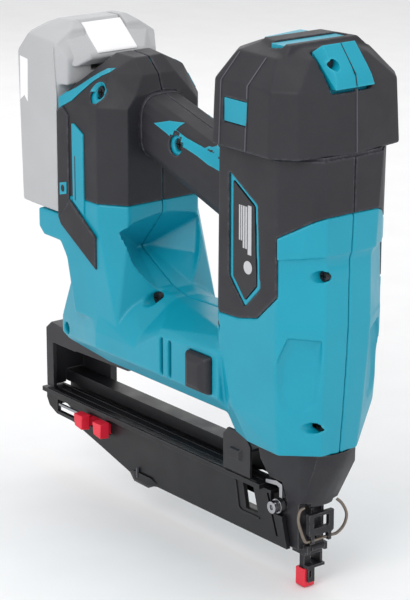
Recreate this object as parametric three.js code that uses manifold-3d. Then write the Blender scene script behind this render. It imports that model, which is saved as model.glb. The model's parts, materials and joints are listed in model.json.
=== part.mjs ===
// Cordless brad nailer: twin-shell body, side-opening magazine, slide-on battery.
// Millimetres. +X points from the battery towards the driver, +Y is the tool's left,
// +Z runs up the driver axis. The origin is the middle of the contact tip's front pad.
import * as THREE from 'three';
import { ConvexGeometry } from 'three/addons/geometries/ConvexGeometry.js';
import { mergeVertices } from 'three/addons/utils/BufferGeometryUtils.js';
import Module from 'manifold-3d';

// ---- driving dimensions -------------------------------------------------------
const PAD_X = 4.5;            // front pad of the contact tip, from the tool's own datum
const AXIS_X = 1.3;           // driver axis
const GAP = 0.3;              // clearance between touching pieces
const WALL = 3.4;             // housing wall
const SKIN = 1.6;             // moulded rubber layer
const CHAMBER_R = 29.5;       // air chamber, outer
const CYL_R = 21;             // cylinder, outer
const BORE_R = 18.6;          // cylinder bore
const CYL_Z = [172, 296];     // cylinder bottom and top
const STROKE = 78;            // piston travel
const PISTON_Z = 272;         // underside of the cocked piston
const MOTOR_R = 20;
const MOTOR_X = [-150, -94];
const ARM_Z = 122;            // motor axis height
const WHEEL_Y = 17;           // lifter wheel centre
const WHEEL_Z = 146;
const RAIL_TOP = 69.5;        // top of the magazine rail behind its front bracket
const DOOR_Y = [-15, -12.2];  // magazine cover panel
const FLANGE_Z = [57, 60];
const FOOT_W = 38;            // half width of the battery foot
const BATTERY_Z = [189.5, 299];
const BATTERY_X = [-236, -191];
const CONTACT_TRAVEL = 8;

const TEAL = [0x0fa9bd, 0.42, 0.0];
const RUBBER = [0x3b3b40, 0.85, 0.0];
const BLACK = [0x232326, 0.5, 0.0];
const GREY = [0x4c4c52, 0.55, 0.0];
const CAST = [0x47474c, 0.5, 0.35];
const STEEL = [0x9a9a9c, 0.35, 0.9];
const WIRE = [0x837d75, 0.4, 0.85];
const RED = [0xe5404f, 0.45, 0.0];
const PACK = [0xb6b6b8, 0.5, 0.0];
const ALLOY = [0xa9abb0, 0.4, 0.8];
const BOARD = [0x1d5b3c, 0.6, 0.0];
const COPPER = [0x9c6a3c, 0.45, 0.6];

// ---- solids ---------------------------------------------------------------------
const wasm = await Module();
wasm.setup();

function solid(geometry) {
  const source = geometry.index ? geometry.toNonIndexed() : geometry;
  const bare = new THREE.BufferGeometry();
  bare.setAttribute('position', source.getAttribute('position').clone());
  const merged = mergeVertices(bare, 1e-4);
  const vertProperties = new Float32Array(merged.getAttribute('position').array);
  const triVerts = new Uint32Array(merged.index.array);
  return new wasm.Manifold(new wasm.Mesh({ numProp: 3, vertProperties, triVerts }));
}

function box(x, y, z) {
  const g = new THREE.BoxGeometry(x[1] - x[0], y[1] - y[0], z[1] - z[0]);
  g.translate((x[0] + x[1]) / 2, (y[0] + y[1]) / 2, (z[0] + z[1]) / 2);
  return solid(g);
}

// Cylinder from a to b along one axis; c holds the two other coordinates in X, Y, Z order.
function rod(axis, c, r, a, b, seg = 24, r2 = r) {
  const g = new THREE.CylinderGeometry(r2, r, b - a, seg);
  const mid = (a + b) / 2;
  if (axis === 'x') {
    g.rotateZ(-Math.PI / 2);
    g.translate(mid, c[0], c[1]);
  } else if (axis === 'y') {
    g.translate(c[0], mid, c[1]);
  } else {
    g.rotateX(Math.PI / 2);
    g.translate(c[0], c[1], mid);
  }
  return solid(g);
}

// Outline in X and Z, extruded along Y.
function plateXZ(points, y0, y1) {
  const shape = new THREE.Shape(points.map(([x, z]) => new THREE.Vector2(x, z)));
  const g = new THREE.ExtrudeGeometry(shape, { depth: y1 - y0, bevelEnabled: false });
  g.rotateX(Math.PI / 2);
  g.translate(0, y1, 0);
  return solid(g);
}

// Outline in Y and Z, extruded along X.
function plateYZ(points, x0, x1) {
  const shape = new THREE.Shape(points.map(([y, z]) => new THREE.Vector2(y, z)));
  const g = new THREE.ExtrudeGeometry(shape, { depth: x1 - x0, bevelEnabled: false });
  g.rotateX(Math.PI / 2);
  g.rotateZ(Math.PI / 2);
  g.translate(x0, 0, 0);
  return solid(g);
}

function hull(points) {
  return solid(new ConvexGeometry(points.map((p) => new THREE.Vector3(...p))));
}

function tube(points, r, sides = 8, steps = 40) {
  const curve = new THREE.CatmullRomCurve3(points.map((p) => new THREE.Vector3(...p)));
  const ring = [];
  for (let i = 0; i < sides; i += 1) {
    const a = (2 * Math.PI * i) / sides;
    ring.push(new THREE.Vector2(r * Math.cos(a), r * Math.sin(a)));
  }
  return solid(new THREE.ExtrudeGeometry(new THREE.Shape(ring), {
    steps, extrudePath: curve, bevelEnabled: false,
  }));
}

function join(...parts) {
  return parts.reduce((a, b) => a.add(b));
}

function cut(base, ...tools) {
  return tools.reduce((a, b) => a.subtract(b), base);
}

// Convex section stack, mirrored about Y = 0: rows of [z, [x, half y], ...].
function stack(rows, inset = 0, cx = 0, reach = 38) {
  const k = 1 - inset / reach;
  const pts = [];
  for (const [z, ...half] of rows) {
    for (const [x, y] of half) {
      pts.push([cx + (x - cx) * k, y * k, z]);
      pts.push([cx + (x - cx) * k, -y * k, z]);
    }
  }
  return hull(pts);
}

// Outline moved inwards by d along the bisector of each corner.
function inward(points, d) {
  const n = points.length;
  let area = 0;
  points.forEach(([x, z], k) => {
    const [u, v] = points[(k + 1) % n];
    area += x * v - u * z;
  });
  const turn = Math.sign(area);
  const normal = (a, b) => {
    const len = Math.hypot(b[0] - a[0], b[1] - a[1]);
    return [(-(b[1] - a[1]) / len) * turn, ((b[0] - a[0]) / len) * turn];
  };
  return points.map((p, k) => {
    const a = normal(points[(k + n - 1) % n], p);
    const b = normal(p, points[(k + 1) % n]);
    const m = d / (1 + a[0] * b[0] + a[1] * b[1]);
    return [p[0] + (a[0] + b[0]) * m, p[1] + (a[1] + b[1]) * m];
  });
}

const RIGHT = box([-400, 400], [-200, -GAP / 2], [-100, 500]);
const LEFT = box([-400, 400], [GAP / 2, 200], [-100, 500]);

// ---- outer forms ----------------------------------------------------------------
function driverBody(inset = 0, z0 = 0, z1 = 0) {
  return stack([
    [90 + z0, [30.4, 0], [29.4, 13], [13, 31], [-15, 30], [-34, 24]],
    [112, [32.4, 0], [31.4, 14.5], [17, 36], [-20, 38], [-38, 32]],
    [150, [35.2, 0], [34.4, 16], [19, 38], [-30, 39.5], [-38, 34]],
    [231, [38.8, 0], [38, 18.5], [20, 38.5], [-29, 39.5], [-37, 31]],
    [264 + z1, [39.4, 0], [38.4, 21], [20, 39.5], [-29, 40], [-37, 31]],
  ], inset);
}

// Half section of the motor arm at x: shoulder rows [half y, z] above, keel rows below.
function armSection(x, shoulder, i) {
  const rows = [...shoulder.map(([y, z]) => [y - i, z - i]), [40 - i, 114], [30 - i, 103 + i], [16 - i, 95 + i]];
  return rows.flatMap(([y, z]) => [[x, y, z], [x, -y, z]]);
}

const SHOULDER_REAR = [[10, 163], [20, 158], [30, 148], [38, 134], [40, 124]];
const SHOULDER_MID = [[8, 148.5], [16, 145], [24, 139], [34, 132], [40, 124]];
const SHOULDER_VENT = [[8, 148], [18, 146.5], [28, 144], [36, 141], [40, 137]];
const SHOULDER_FRONT = [[10, 150], [30, 149], [40, 142]];

function motorArm(inset = 0) {
  const i = inset;
  const rear = [[-205 + i, 108 + i], [-205 + i, 118 - i], [-188 + i, 139], [-188 + i, 160 - i],
    [-150, 163 - i], [-150, 103 + i], [-198, 105 + i]];
  const pts = [];
  for (const s of [-1, 1]) {
    for (const [x, z] of rear) pts.push([x, s * (26.5 - i), z]);
  }
  return join(hull([...pts, ...armSection(-150, [[38, 134], [40, 124]], i)]),
    hull([...armSection(-150, SHOULDER_REAR, i), ...armSection(-110, SHOULDER_MID, i)]),
    hull([...armSection(-110, SHOULDER_MID, i), ...armSection(-88, SHOULDER_VENT, i),
      ...armSection(-30, SHOULDER_FRONT, i)]));
}

function batteryFoot(inset = 0) {
  const i = inset;
  const pts = [];
  for (const s of [-1, 1]) {
    for (const z of [171 + i, 262]) {
      pts.push([-134 - i, s * (26 - i), z], [-149, s * (FOOT_W - i), z]);
      pts.push([-188 + i, s * (FOOT_W - i), z]);
    }
    pts.push([-134 - i, s * (20 - i), 269 - i], [-150, s * (27 - i), 281 - i]);
    pts.push([-148, s * (10 - i), 289 - i], [-164, s * (12 - i), 290 - i]);
    pts.push([-138 - i, s * (12 - i), 280 - i], [-176, s * (31 - i), 268 - i]);
    pts.push([-188 + i, s * 30, 262], [-172, s * (20 - i), 280 - i]);
  }
  return hull(pts);
}

function shelf() {
  return plateXZ([[-212, 188.7], [-212, 177], [-207, 172.5], [-189, 172], [-180, 160],
    [-170, 160], [-170, 188.7]], -FOOT_W, FOOT_W);
}

// Column that carries the battery foot down to the motor arm.
function column(inset = 0) {
  const i = inset;
  const pts = [];
  for (const [x, y, z] of [[-188 + i, 38, 190], [-149, 38, 190], [-134 - i, 26, 190],
    [-149, 38, 171], [-134.5 - i, 25.5, 171], [-189 + i, 26.5, 166], [-174, 38, 166],
    [-122 - i, 12, 150], [-188 + i, 26.5, 130], [-174, 38, 130], [-130, 38, 130]]) {
    pts.push([x, y - i, z], [x, i - y, z]);
  }
  return hull(pts);
}

function handleBar(inset = 0) {
  const pts = [];
  const section = (x, z0, z1, w) => {
    const cz = (z0 + z1) / 2;
    const h = (z1 - z0) / 2 - inset;
    for (let k = 0; k < 16; k += 1) {
      const a = (Math.PI * 2 * k) / 16;
      const c = Math.cos(a);
      const s = Math.sin(a);
      const y = Math.sign(c) * Math.abs(c) ** 0.62 * (w - inset);
      const z = Math.sign(s) * Math.abs(s) ** 0.62 * h;
      pts.push([x, y, cz + z]);
    }
  };
  section(-138, 232, 270.5, 17);
  section(-30, 197, 240, 17.5);
  return hull(pts);
}

function handleRoot() {
  const pts = [];
  for (const s of [-1, 1]) {
    pts.push([-30, s * 15, 172], [-37.5, s * 15, 176], [-56, s * 13, 207], [-30, s * 17, 230]);
    pts.push([-60, s * 13, 225]);
  }
  return hull(pts);
}

// Hollow for the fingers in the front of the column.
function scoop() {
  const pts = [];
  for (const [x, y, z] of [[-134, 3, 196], [-131, 16, 196], [-139.7, 29.7, 187], [-156.2, 4, 169.8],
    [-135.6, 26.4, 173.3], [-134.6, 24.4, 166], [-121.6, 12.6, 150.8], [-107.6, 5, 149.1],
    [-100, 12, 152], [-100, 32, 190]]) {
    pts.push([x, y, z], [x, -y, z]);
  }
  return hull(pts);
}

// Shallow waist round the front of the driver body, with a sloping face above and below.
function waist() {
  const full = [[35.9, 0], [35.1, 16.4], [19.2, 38.1]];
  const slim = (d) => full.map(([x, y]) => [x + 1.2 - d, y * (1 - d * 0.022)]);
  const back = [[10, 30], [-30, 30]];
  const core = join(
    stack([[166, ...full, ...back], [174, ...slim(2.6), ...back], [206, ...slim(1.2), ...back]]),
    stack([[204, ...slim(1.4), ...back], [212, [38, 0], [37.2, 18], [20, 38.4], ...back]]));
  return plateXZ([[19.4, 168], [60, 168], [60, 211], [19.4, 207]], -60, 60).subtract(core);
}

// Lens-shaped dish on the front corner, on one side.
function dish(s) {
  const at = (u, z, d) => [18 + 0.568 * u - 0.822 * d, s * (37 - 0.822 * u - 0.568 * d), z];
  const rim = [[6, 162], [0, 148], [-1.5, 132], [3, 114], [14, 111.5], [24, 118], [25, 160]];
  const floor = [[10, 154], [5, 145], [4, 132], [7, 121], [14, 118], [20.5, 122], [21.5, 154]];
  return hull([...rim.map(([u, z]) => at(u, z, -0.2)), ...rim.map(([u, z]) => at(u, z, -8)),
    ...floor.map(([u, z]) => at(u, z, 2.3))]);
}

function outerForm(inset = 0) {
  return join(driverBody(inset), motorArm(inset), batteryFoot(inset), column(inset), handleBar(inset));
}

const BODY_LINE = [[-80, 330], [60, 330], [60, 236], [38, 231], [34, 229], [19.3, 219], [19.3, 185],
  [2.7, 169.5], [-13.4, 166], [-80, 164]];
const FOOT_LINE = [[-120, 330], [-184, 330], [-184, 203], [-120, 203]];

// ---- housing --------------------------------------------------------------------
// Space that the screw posts stay out of.
function driveSpace() {
  return join(rod('z', [AXIS_X, 0], CYL_R + 0.4, 150, 280, 32),
    rod('x', [0, ARM_Z], MOTOR_R + 1, -160, -30, 32));
}

const SCREWS = [
  // centre at the housing surface, radius of the recess
  { name: 'screw_body_lower', at: [27.4, -17, 108], r: 3.3 },
  { name: 'screw_body_upper', at: [32.6, -20, 197], r: 3.3 },
  { name: 'screw_arm_front', at: [-33.5, -38, 157], r: 3.9 },
  { name: 'screw_arm_rear', at: [-121, -18.5, 147.5], r: 3.9 },
  { name: 'screw_rear_boss', at: [-197.5, -26, 112], r: 3.9 },
  { name: 'screw_handle', at: [-100, -17, 245.5], r: 3.9 },
  { name: 'screw_foot', at: [-154, -34, 269.5], r: 3.9 },
];

function screwBore(s) {
  const [x, y, z] = s.at;
  return join(rod('y', [x, z], s.r, -60, y + 7, 16), rod('y', [x, z], 1.8, y + 6.5, y + 17.4, 10));
}

function screwPost(s) {
  return rod('y', [s.at[0], s.at[2]], s.r + 1.7, s.at[1] + 5, -0.4, 16);
}

const PLATE_RIM = [[-20.6, 249], [-20.6, 189], [-7.7, 174.5], [5, 187.5], [3, 234.5]];
const plateRecess = plateXZ(inward(PLATE_RIM, 2.2), -60, -36.8);
const plateRim = plateXZ(PLATE_RIM, -38.6, -34);

function housing() {
  let shell = join(outerForm(), shelf(), handleRoot());
  shell = cut(shell, scoop(), waist(), dish(-1), dish(1));
  const hollow = join(
    rod('z', [AXIS_X, 0], CHAMBER_R + 0.6, 204, 280, 32),
    rod('z', [AXIS_X, 0], CYL_R + 0.6, 150, 210, 32),
    hull([[-33, 27, 108], [-33, -27, 108], [28, 10, 108], [28, -10, 108], [14, 29, 116],
      [14, -29, 116], [-33, 33, 120], [-33, -33, 120], [-33, 33, 163], [-33, -33, 163],
      [14, 32, 163], [14, -32, 163], [30, 12, 163], [30, -12, 163], [24, 9, 94], [24, -9, 94],
      [-20, 20, 97], [-20, -20, 97]]),
    rod('x', [0, ARM_Z], MOTOR_R + 2, -172, -20, 32),
    cut(batteryFoot(WALL + 0.8), box([-160, -120], [-50, 50], [100, 208])),
    box([-184, -161], [-22, 22], [135, 215]),
    hull([[-142, 11, 240], [-142, -11, 240], [-142, 11, 262], [-142, -11, 262],
      [-28, 12, 207], [-28, -12, 207], [-28, 12, 232], [-28, -12, 232]]),
    box([-189, -170], [-29, 29], [199, 256]),
  );
  const skin = join(
    cut(plateXZ(BODY_LINE, -60, 60), driverBody(SKIN + GAP)),
    cut(plateXZ(FOOT_LINE, -60, 60), batteryFoot(SKIN + GAP), handleBar(SKIN + GAP)),
    cut(handleBar(-0.5), handleBar(SKIN + GAP), driverBody(-0.1), batteryFoot(-0.1),
      box([-70, 0], [-60, 60], [150, 203])),
  );
  shell = cut(shell, hollow, skin);
  const posts = join(...SCREWS.map(screwPost));
  const rim = plateRim.intersect(driverBody(0.2)).subtract(driverBody(4));
  shell = join(shell, posts.intersect(outerForm(1)).subtract(driveSpace()), rim);
  for (const s of SCREWS) shell = shell.subtract(screwBore(s));
  shell = cut(shell,
    plateRecess,
    // seat of the head cover
    box([-60, 60], [-60, 60], [263.5, 330]),
    // battery dock, trigger slot, side pads, cooling slots
    box([-260, -187.9], [-60, 60], [189, 330]),
    box([-80, -48], [-6.2, 6.2], [196, 236]),
    box([-57.8, -36.2], [-60, -38.4], [114.2, 137.3]),
    box([-57.8, -36.2], [38.4, 60], [114.2, 137.3]),
  );
  for (const x of [-84, -76]) {
    for (const s of [-1, 1]) {
      const y = s > 0 ? [20, 60] : [-60, -20];
      shell = shell.subtract(box([x - 1.4, x + 1.4], y, [114, 137]));
    }
  }
  // openings for the magazine bracket and the nose base
  shell = cut(shell, box([-240, -139], [-16.4, 16.4], [80, 99.4]),
    hull([[-230, 16.4, 110], [-230, -16.4, 110], [-215, 16.4, 110], [-215, -16.4, 110],
      [-206, 16.4, 104], [-206, -16.4, 104], [-206, 16.4, 90], [-206, -16.4, 90],
      [-230, 16.4, 90], [-230, -16.4, 90]]),
    box([-20, 24], [-15, 15], [80, 98]));
  return shell;
}

// ---- head -----------------------------------------------------------------------
function headForm(inset = 0) {
  return stack([
    [264.2 - inset, [40, 0], [33.5, 36.5], [21, 46], [-28, 46], [-36, 38]],
    [301 - inset * 0.3, [39, 0], [32.2, 35], [20, 44.5], [-27.5, 44.5], [-35, 36]],
    [316 - inset, [27, 0], [24, 20], [11, 33], [-22, 33], [-29, 26]],
    [320 - inset, [18, 0], [16, 15], [4, 23], [-16, 23], [-22, 16]],
  ], inset, 0, 42);
}

// Low ridge across the top, around the slot.
const crown = hull([[16, -32, 314], [-22, -27, 314], [16, 32, 314], [-22, 27, 314], [12, -25, 322.4],
  [-15, -20, 322.4], [12, 24, 322.4], [-15, 20, 322.4]]);

// Raised block at the rear of the top.
const rearBlock = hull([[-36.5, -8, 303], [-36.5, 20, 303], [-37, -7.5, 310], [-37, 19.5, 311],
  [-31, -6.5, 318.6], [-31, 19, 319.8], [-23, -5, 319], [-23, 18, 320.4], [-24, -6, 306], [-24, 18, 306]]);

const topBlock = hull([[39, -14.7, 301], [39, 12.7, 301], [20, -15.5, 319], [20, 12.5, 319],
  [37.5, -13, 308], [37.5, 11, 308], [25, -13, 323], [25, 10, 323], [10, -10, 300], [10, 10, 300]]);
function topWindow(g) {
  return hull([[42, -15 - g, 300.6 - g], [42, 13 + g, 300.6 - g], [22, -16 - g, 330], [22, 12.8 + g, 330],
    [18 - g, -15.8 - g, 318], [18 - g, 12.8 + g, 318], [25, -15 - g, 296], [25, 13 + g, 296]]);
}

const sideBlock = [-19.7, 0.8, 278.3, 291.9];
const topSlot = [[-3.5, 7.5], [-25, 21]];

function headBumper() {
  let shell = join(headForm(), crown).subtract(headForm(4.6));
  shell = cut(shell, topWindow(0.6), box([-60, -21.6], [-8.8, 20.8], [302.4, 340]),
    box([sideBlock[0], sideBlock[1]], [-60, -36], [sideBlock[2], sideBlock[3]]),
    box(topSlot[0], topSlot[1], [300, 340]));
  return shell;
}

function headCover() {
  let core = headForm(5);
  core = join(core, topBlock.intersect(topWindow(0)), rearBlock,
    box([sideBlock[0] + GAP, sideBlock[1] - GAP], [-44.2, -30],
      [sideBlock[2] + GAP, sideBlock[3] - GAP]),
    box([topSlot[0][0] + GAP, topSlot[0][1] - GAP], [topSlot[1][0] + GAP, topSlot[1][1] - GAP],
      [300, 321.4]));
  const inside = join(headForm(8.4).subtract(box([22, 60], [-14, 11], [296, 330])),
    headForm(8.4).intersect(box([-80, 80], [-80, 80], [263, 290])));
  core = cut(core, inside, box([-80, 80], [-80, 80], [200, 264.5]));
  return cut(core, rod('x', [-10.9, 313.2], 3.1, 27.5, 45, 16));
}

// ---- rubber ---------------------------------------------------------------------
function layer(form, line, extra = []) {
  const region = plateXZ(line, -60, 60);
  return cut(form(0).intersect(region), form(SKIN), ...extra);
}


function inwardPlate() {
  return plateXZ(inward(PLATE_RIM, -GAP), -60, -30);
}

function bodyLayer() {
  return layer(driverBody, inward(BODY_LINE, GAP), [
    box([-80, 80], [-80, 80], [263.2, 340]), handleBar(-0.4), handleRoot(),
    ...SCREWS.map((s) => rod('y', [s.at[0], s.at[2]], 6, -60, s.at[1] + 7, 16)),
    inwardPlate(), motorArm(-0.4)]);
}

function footLayer() {
  return layer(batteryFoot, inward(FOOT_LINE, GAP), [
    handleBar(-0.4), box([-260, -187.6], [-60, 60], [150, 340]),
    ...SCREWS.map((s) => rod('y', [s.at[0], s.at[2]], 6, -60, s.at[1] + 7, 16))]);
}

function gripLayer() {
  let g = cut(handleBar(0), handleBar(SKIN), driverBody(-0.4), batteryFoot(-0.4),
    box([-70.3, 0], [-60, 60], [150, 203.3]), handleRoot(), box([-82, -46], [-7, 7], [190, 226]),
    ...SCREWS.map((s) => rod('y', [s.at[0], s.at[2]], 6, -60, s.at[1] + 7, 16)));
  for (let k = 0; k < 4; k += 1) {
    const dz = -10 - k * 4.6;
    for (const s of [-1, 1]) {
      const y = s > 0 ? [17.3, 30] : [-30, -17.3];
      g = g.subtract(hull([[-122, y[0], 250 + dz], [-122, y[1], 250 + dz - 1], [-122, y[1], 250 + dz + 1],
        [-66, y[0], 232 + dz], [-66, y[1], 232 + dz - 1], [-66, y[1], 232 + dz + 1]]));
    }
  }
  return g;
}

function sidePad(s) {
  const pts = [];
  for (const [dx, dz, y] of [[0, 0, 38.7], [0, 0, 41.2], [1, 0.8, 43.4], [5.5, 4.2, 45.7]]) {
    for (const x of [-57.4 + dx, -36.6 - dx]) {
      for (const z of [114.6 + dz, 136.8 - dz]) pts.push([x, s * y, z]);
    }
  }
  return hull(pts);
}

function namePlate() {
  return plateXZ(inward(PLATE_RIM, 2.6), -39, -37.1)
    .intersect(driverBody(0.2));
}

// ---- battery --------------------------------------------------------------------
function batteryCase() {
  const pts = [];
  const lip = [];
  for (const s of [-1, 1]) {
    for (const [x, y, z] of [[-236, 31, 197], [-229, 37.5, 190], [-191, 37.5, 189.5],
      [-236, 31, 282], [-232, 37.5, 284], [-221, 37, 296], [-191, 37, 294], [-229, 29, 296],
      [-224, 20, 301], [-212, 20, 305], [-198, 20, 305.5], [-191, 26, 301]]) {
      pts.push([x, s * y, z]);
    }
    for (const [x, y, z] of [[-192, 37, 294], [-192, 26, 301], [-192, 37, 269], [-184.6, 33, 284],
      [-184.6, 33, 269], [-184.6, 24, 286]]) {
      lip.push([x, s * y, z]);
    }
  }
  return cut(join(hull(pts), hull(lip)), batteryButtonWell(), packRails(0.35), batteryHollow(),
    box([-200, -190], [-12, 12], [216, 236]));
}

function batteryHollow() {
  return box([-232, -196], [-33.5, 33.5], [196, 262]).subtract(box([-199.3, -190], [-40, 40], [180, 300]));
}

function batteryButtonWell() {
  return box([-214, -180], [-15.3, 15.3], [276, 320]);
}

function batteryButton() {
  const pts = [];
  for (const y of [-14.9, 14.9]) {
    pts.push([-213.6, y, 280.4], [-213.6, y, 304.6], [-199, y, 304.8]);
    pts.push([-184.8, y, 284], [-184.8, y, 280.4]);
  }
  return hull(pts);
}

function packRails(grow = 0) {
  return box([-196 - grow, -190], [-27 - grow, 27 + grow], [210 - grow, 262 + grow]);
}

function batteryCells() {
  let block = null;
  for (const z of [199, 219, 240]) {
    for (const x of [-222]) {
      const c = rod('y', [x, z + 9], 8.9, -32.5, 32.5, 16);
      block = block ? join(block, c) : c;
    }
  }
  return join(block, box([-223, -213], [-30, 30], [203, 254]));
}

function terminalBlock() {
  let b = box([-188, -176], [-28.6, 28.6], [199.4, 255.6]);
  b = b.subtract(box([-180, -170], [-24, 24], [206, 250]));
  for (const y of [-16, 16]) {
    b = join(b, box([-190.4, -187], [y - 1, y + 1], [212, 240]));
  }
  return b;
}

// ---- drive ----------------------------------------------------------------------
function ring(ro, ri, z0, z1, seg = 32) {
  return rod('z', [AXIS_X, 0], ro, z0, z1, seg).subtract(rod('z', [AXIS_X, 0], ri, z0 - 1, z1 + 1, seg));
}

function cylinder() {
  return join(ring(CYL_R, BORE_R, CYL_Z[0], CYL_Z[1]), ring(BORE_R + 1, 8, CYL_Z[0], CYL_Z[0] + 3));
}

function airChamber() {
  return join(ring(CHAMBER_R, CHAMBER_R - 2, 206, 263), ring(CHAMBER_R - 1, CYL_R + GAP, 206, 208.6));
}

function bladeRack() {
  let b = box([AXIS_X - 0.7, AXIS_X + 0.7], [-2.4, 2.4], [140, PISTON_Z - 0.5]);
  b = join(b, box([AXIS_X - 0.7, AXIS_X + 0.7], [-1.2, 1.2], [79, 141]));
  for (let k = 0; k < 9; k += 1) {
    const z = 146 + k * 11;
    b = b.subtract(box([AXIS_X - 2, AXIS_X + 2], [1, 3], [z, z + 5]));
  }
  return b;
}

function lifterWheel() {
  let w = rod('x', [WHEEL_Y, WHEEL_Z], 11, AXIS_X - 4, AXIS_X - 1.8, 24);
  w = join(w, rod('x', [WHEEL_Y, WHEEL_Z], 11, AXIS_X + 1.8, AXIS_X + 4, 24),
    rod('x', [WHEEL_Y, WHEEL_Z], 4, -12.6, AXIS_X + 7, 16));
  for (let k = 0; k < 8; k += 1) {
    const a = (Math.PI / 4) * k + Math.PI / 8;
    w = join(w, rod('x', [WHEEL_Y + 9.4 * Math.cos(a), WHEEL_Z + 9.4 * Math.sin(a)], 1.6,
      AXIS_X - 3, AXIS_X + 3, 10));
  }
  return w;
}

function gearboxCase() {
  return join(rod('x', [0, ARM_Z], 19.5, -92, -42, 32), rod('x', [0, ARM_Z], 15, -42.5, -34, 32),
    hull([[-34.5, -12, 114], [-34.5, 12, 114], [-34.5, 12, 138], [-34.5, -12, 138],
      [-20, -12, 114], [-20, 12, 114], [-20, 12, 138], [-20, -12, 138]]),
    hull([[-26.6, -12, 114], [-26.6, 12, 114], [-26.6, 26, 146], [-26.6, -12, 138],
      [-14, -12, 114], [-14, 12, 114], [-14, 26, 146], [-14, -12, 138], [-26.6, 17, 157],
      [-14, 17, 157], [-26.6, 6, 155], [-14, 6, 155]]))
    .subtract(rod('x', [0, ARM_Z], 3.2, -100, -80, 16))
    .subtract(rod('x', [WHEEL_Y, WHEEL_Z], 4.3, -20, 0, 16));
}

function motorCan() {
  return rod('x', [0, ARM_Z], MOTOR_R, MOTOR_X[0], MOTOR_X[1], 32)
    .subtract(rod('x', [0, ARM_Z], MOTOR_R - 2.5, MOTOR_X[0] - 1, MOTOR_X[1] - 3, 32))
    .subtract(rod('x', [0, ARM_Z], 3.2, MOTOR_X[0], MOTOR_X[1] + 1, 16));
}

function motorRotor() {
  return join(rod('x', [0, ARM_Z], 12.5, -144, -100, 24), rod('x', [0, ARM_Z], 2.8, -168, -84, 16));
}

function coolingFan() {
  let f = rod('x', [0, ARM_Z], 6, -164, -154, 20);
  for (let k = 0; k < 7; k += 1) {
    const a = (2 * Math.PI * k) / 7;
    const c = Math.cos(a);
    const s = Math.sin(a);
    const at = (u, v, x) => [x, u * c - v * s, ARM_Z + u * s + v * c];
    f = join(f, hull([at(4, -1, -164), at(4, 1, -164), at(17.5, -1, -164), at(17.5, 1, -164),
      at(4, -1, -155), at(4, 1, -155), at(17.5, -1, -155), at(17.5, 1, -155)]));
  }
  return f.subtract(rod('x', [0, ARM_Z], 3.1, -170, -150, 16));
}

// ---- nose -----------------------------------------------------------------------
function noseBase() {
  const funnel = hull([
    [30.8, 5, 90], [30.8, -5, 90], [27.6, 14, 90], [27.6, -14, 90], [19, 20.6, 90], [19, -20.6, 90],
    [-18, 21, 90], [-18, -21, 90], [29.4, 4, 80], [29.4, -3, 80], [24.6, 16.5, 80], [24.6, -14.5, 80],
    [-17, 19, 77], [-17, -19, 77], [16.2, 4, 54], [16.2, -3, 54], [14.2, 11.5, 54], [14.2, -9, 54], [11, 12.4, 54], [11, -11.6, 54], [-8, 11.6, 54], [-8, -11.6, 54]]);
  let b = join(funnel,
    box([-17, 20], [-14, 14], [89.5, 97]),
    box([-8, 8.6], [-11.6, 7.4], [26.5, 55]),
    box([-3, 8.6], [-6.2, 6.2], [21.5, 27]),
    box([-0.9, 3.2], [-2.4, 2.4], [9.3, 22]),
    // clevis lugs of the nose door
    box([8.4, 12.2], [-7.6, -5.2], [24, 28.6]), box([8.4, 12.2], [5.2, 7.4], [24, 28.6]));
  b = cut(b,
    box([AXIS_X - 1.1, AXIS_X + 1.1], [-2.7, 2.7], [60, 110]),
    box([AXIS_X - 1.1, AXIS_X + 1.1], [-1.3, 1.3], [0, 61]),
    box([-12, AXIS_X], [-1.4, 1.4], [25, 79]),
    // recess under the nose door
    box([8.0, 16], [-5, 5], [28, 53.5]),
    // way for the contact arm
    box([-5.4, 5.4], [8, 10.4], [50, 110]),
    box([-5.4, 5.4], [10, 20], [88, 110]),
    // bail relief, bolt hole and clip seat
    rod('y', [12.5, 53], 3.6, -20, -7.8, 12), rod('y', [12.5, 53], 3.6, 7.8, 20, 12),
    box([12.5, 24], [-20, -7.8], [49.4, 56.6]), box([12.5, 24], [7.8, 20], [49.4, 56.6]),
    rod('y', [-6.5, 50], 2.8, -12.2, -4, 12),
    box([-17.6, -1.6], [-22, -11.3], [50, 66.4]));
  return b;
}

function contactArm() {
  return join(
    box([-5, 5], [8.3, 10], [13.2, 104]),
    box([-3, 7.2], [3.1, 10], [11.6, 13.4]),
    box([3.6, 7.2], [-3, 3.3], [11.6, 13.4]),
    box([5.7, 7.2], [-2.4, 2.4], [3.2, 13.4]),
    box([-5, 5], [8.3, 15], [102.4, 104]),
  ).subtract(box([5, 8], [-1.6, -0.2], [6, 10.5]));
}

function contactTip() {
  return cut(box([-2.7, 5.4], [-3.9, 3.9], [0, 11.2]), box([-1.3, 3.6], [-2.8, 2.8], [-1, 12]));
}

function contactSpring() {
  return rod('z', [0, 12], 3, 104.4, 118, 16).subtract(rod('z', [0, 12], 2, 103, 119, 12));
}

function noseDoor() {
  return join(
    box([8.3, 9.8], [-4.7, 4.7], [29, 53.2]),
    box([8.9, 11], [-4.7, 4.7], [27, 30]),
    rod('y', [11, 26.6], 2, -4.7, 4.7, 16),
    box([9.6, 11.8], [-4.7, -2.8], [45.8, 51.6]), box([9.6, 11.8], [2.8, 4.7], [45.8, 51.6]),
  ).subtract(box([7, 12], [-1, 1.2], [31, 37]));
}

function latchLever() {
  const frame = plateYZ([[-9.3, 49.3], [-9.3, 37], [-7.5, 35.6], [-7.5, 31], [-5.2, 31],
    [-5.2, 36], [5.2, 36], [5.2, 31], [7.5, 31], [7.5, 35.6], [9.3, 37], [9.3, 49.3]], 12.8, 15.6);
  return cut(frame, box([10, 18], [-5.6, 5.6], [40.4, 47.2]),
    rod('y', [14.2, 33], 1.25, -10, 10, 12));
}

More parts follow.
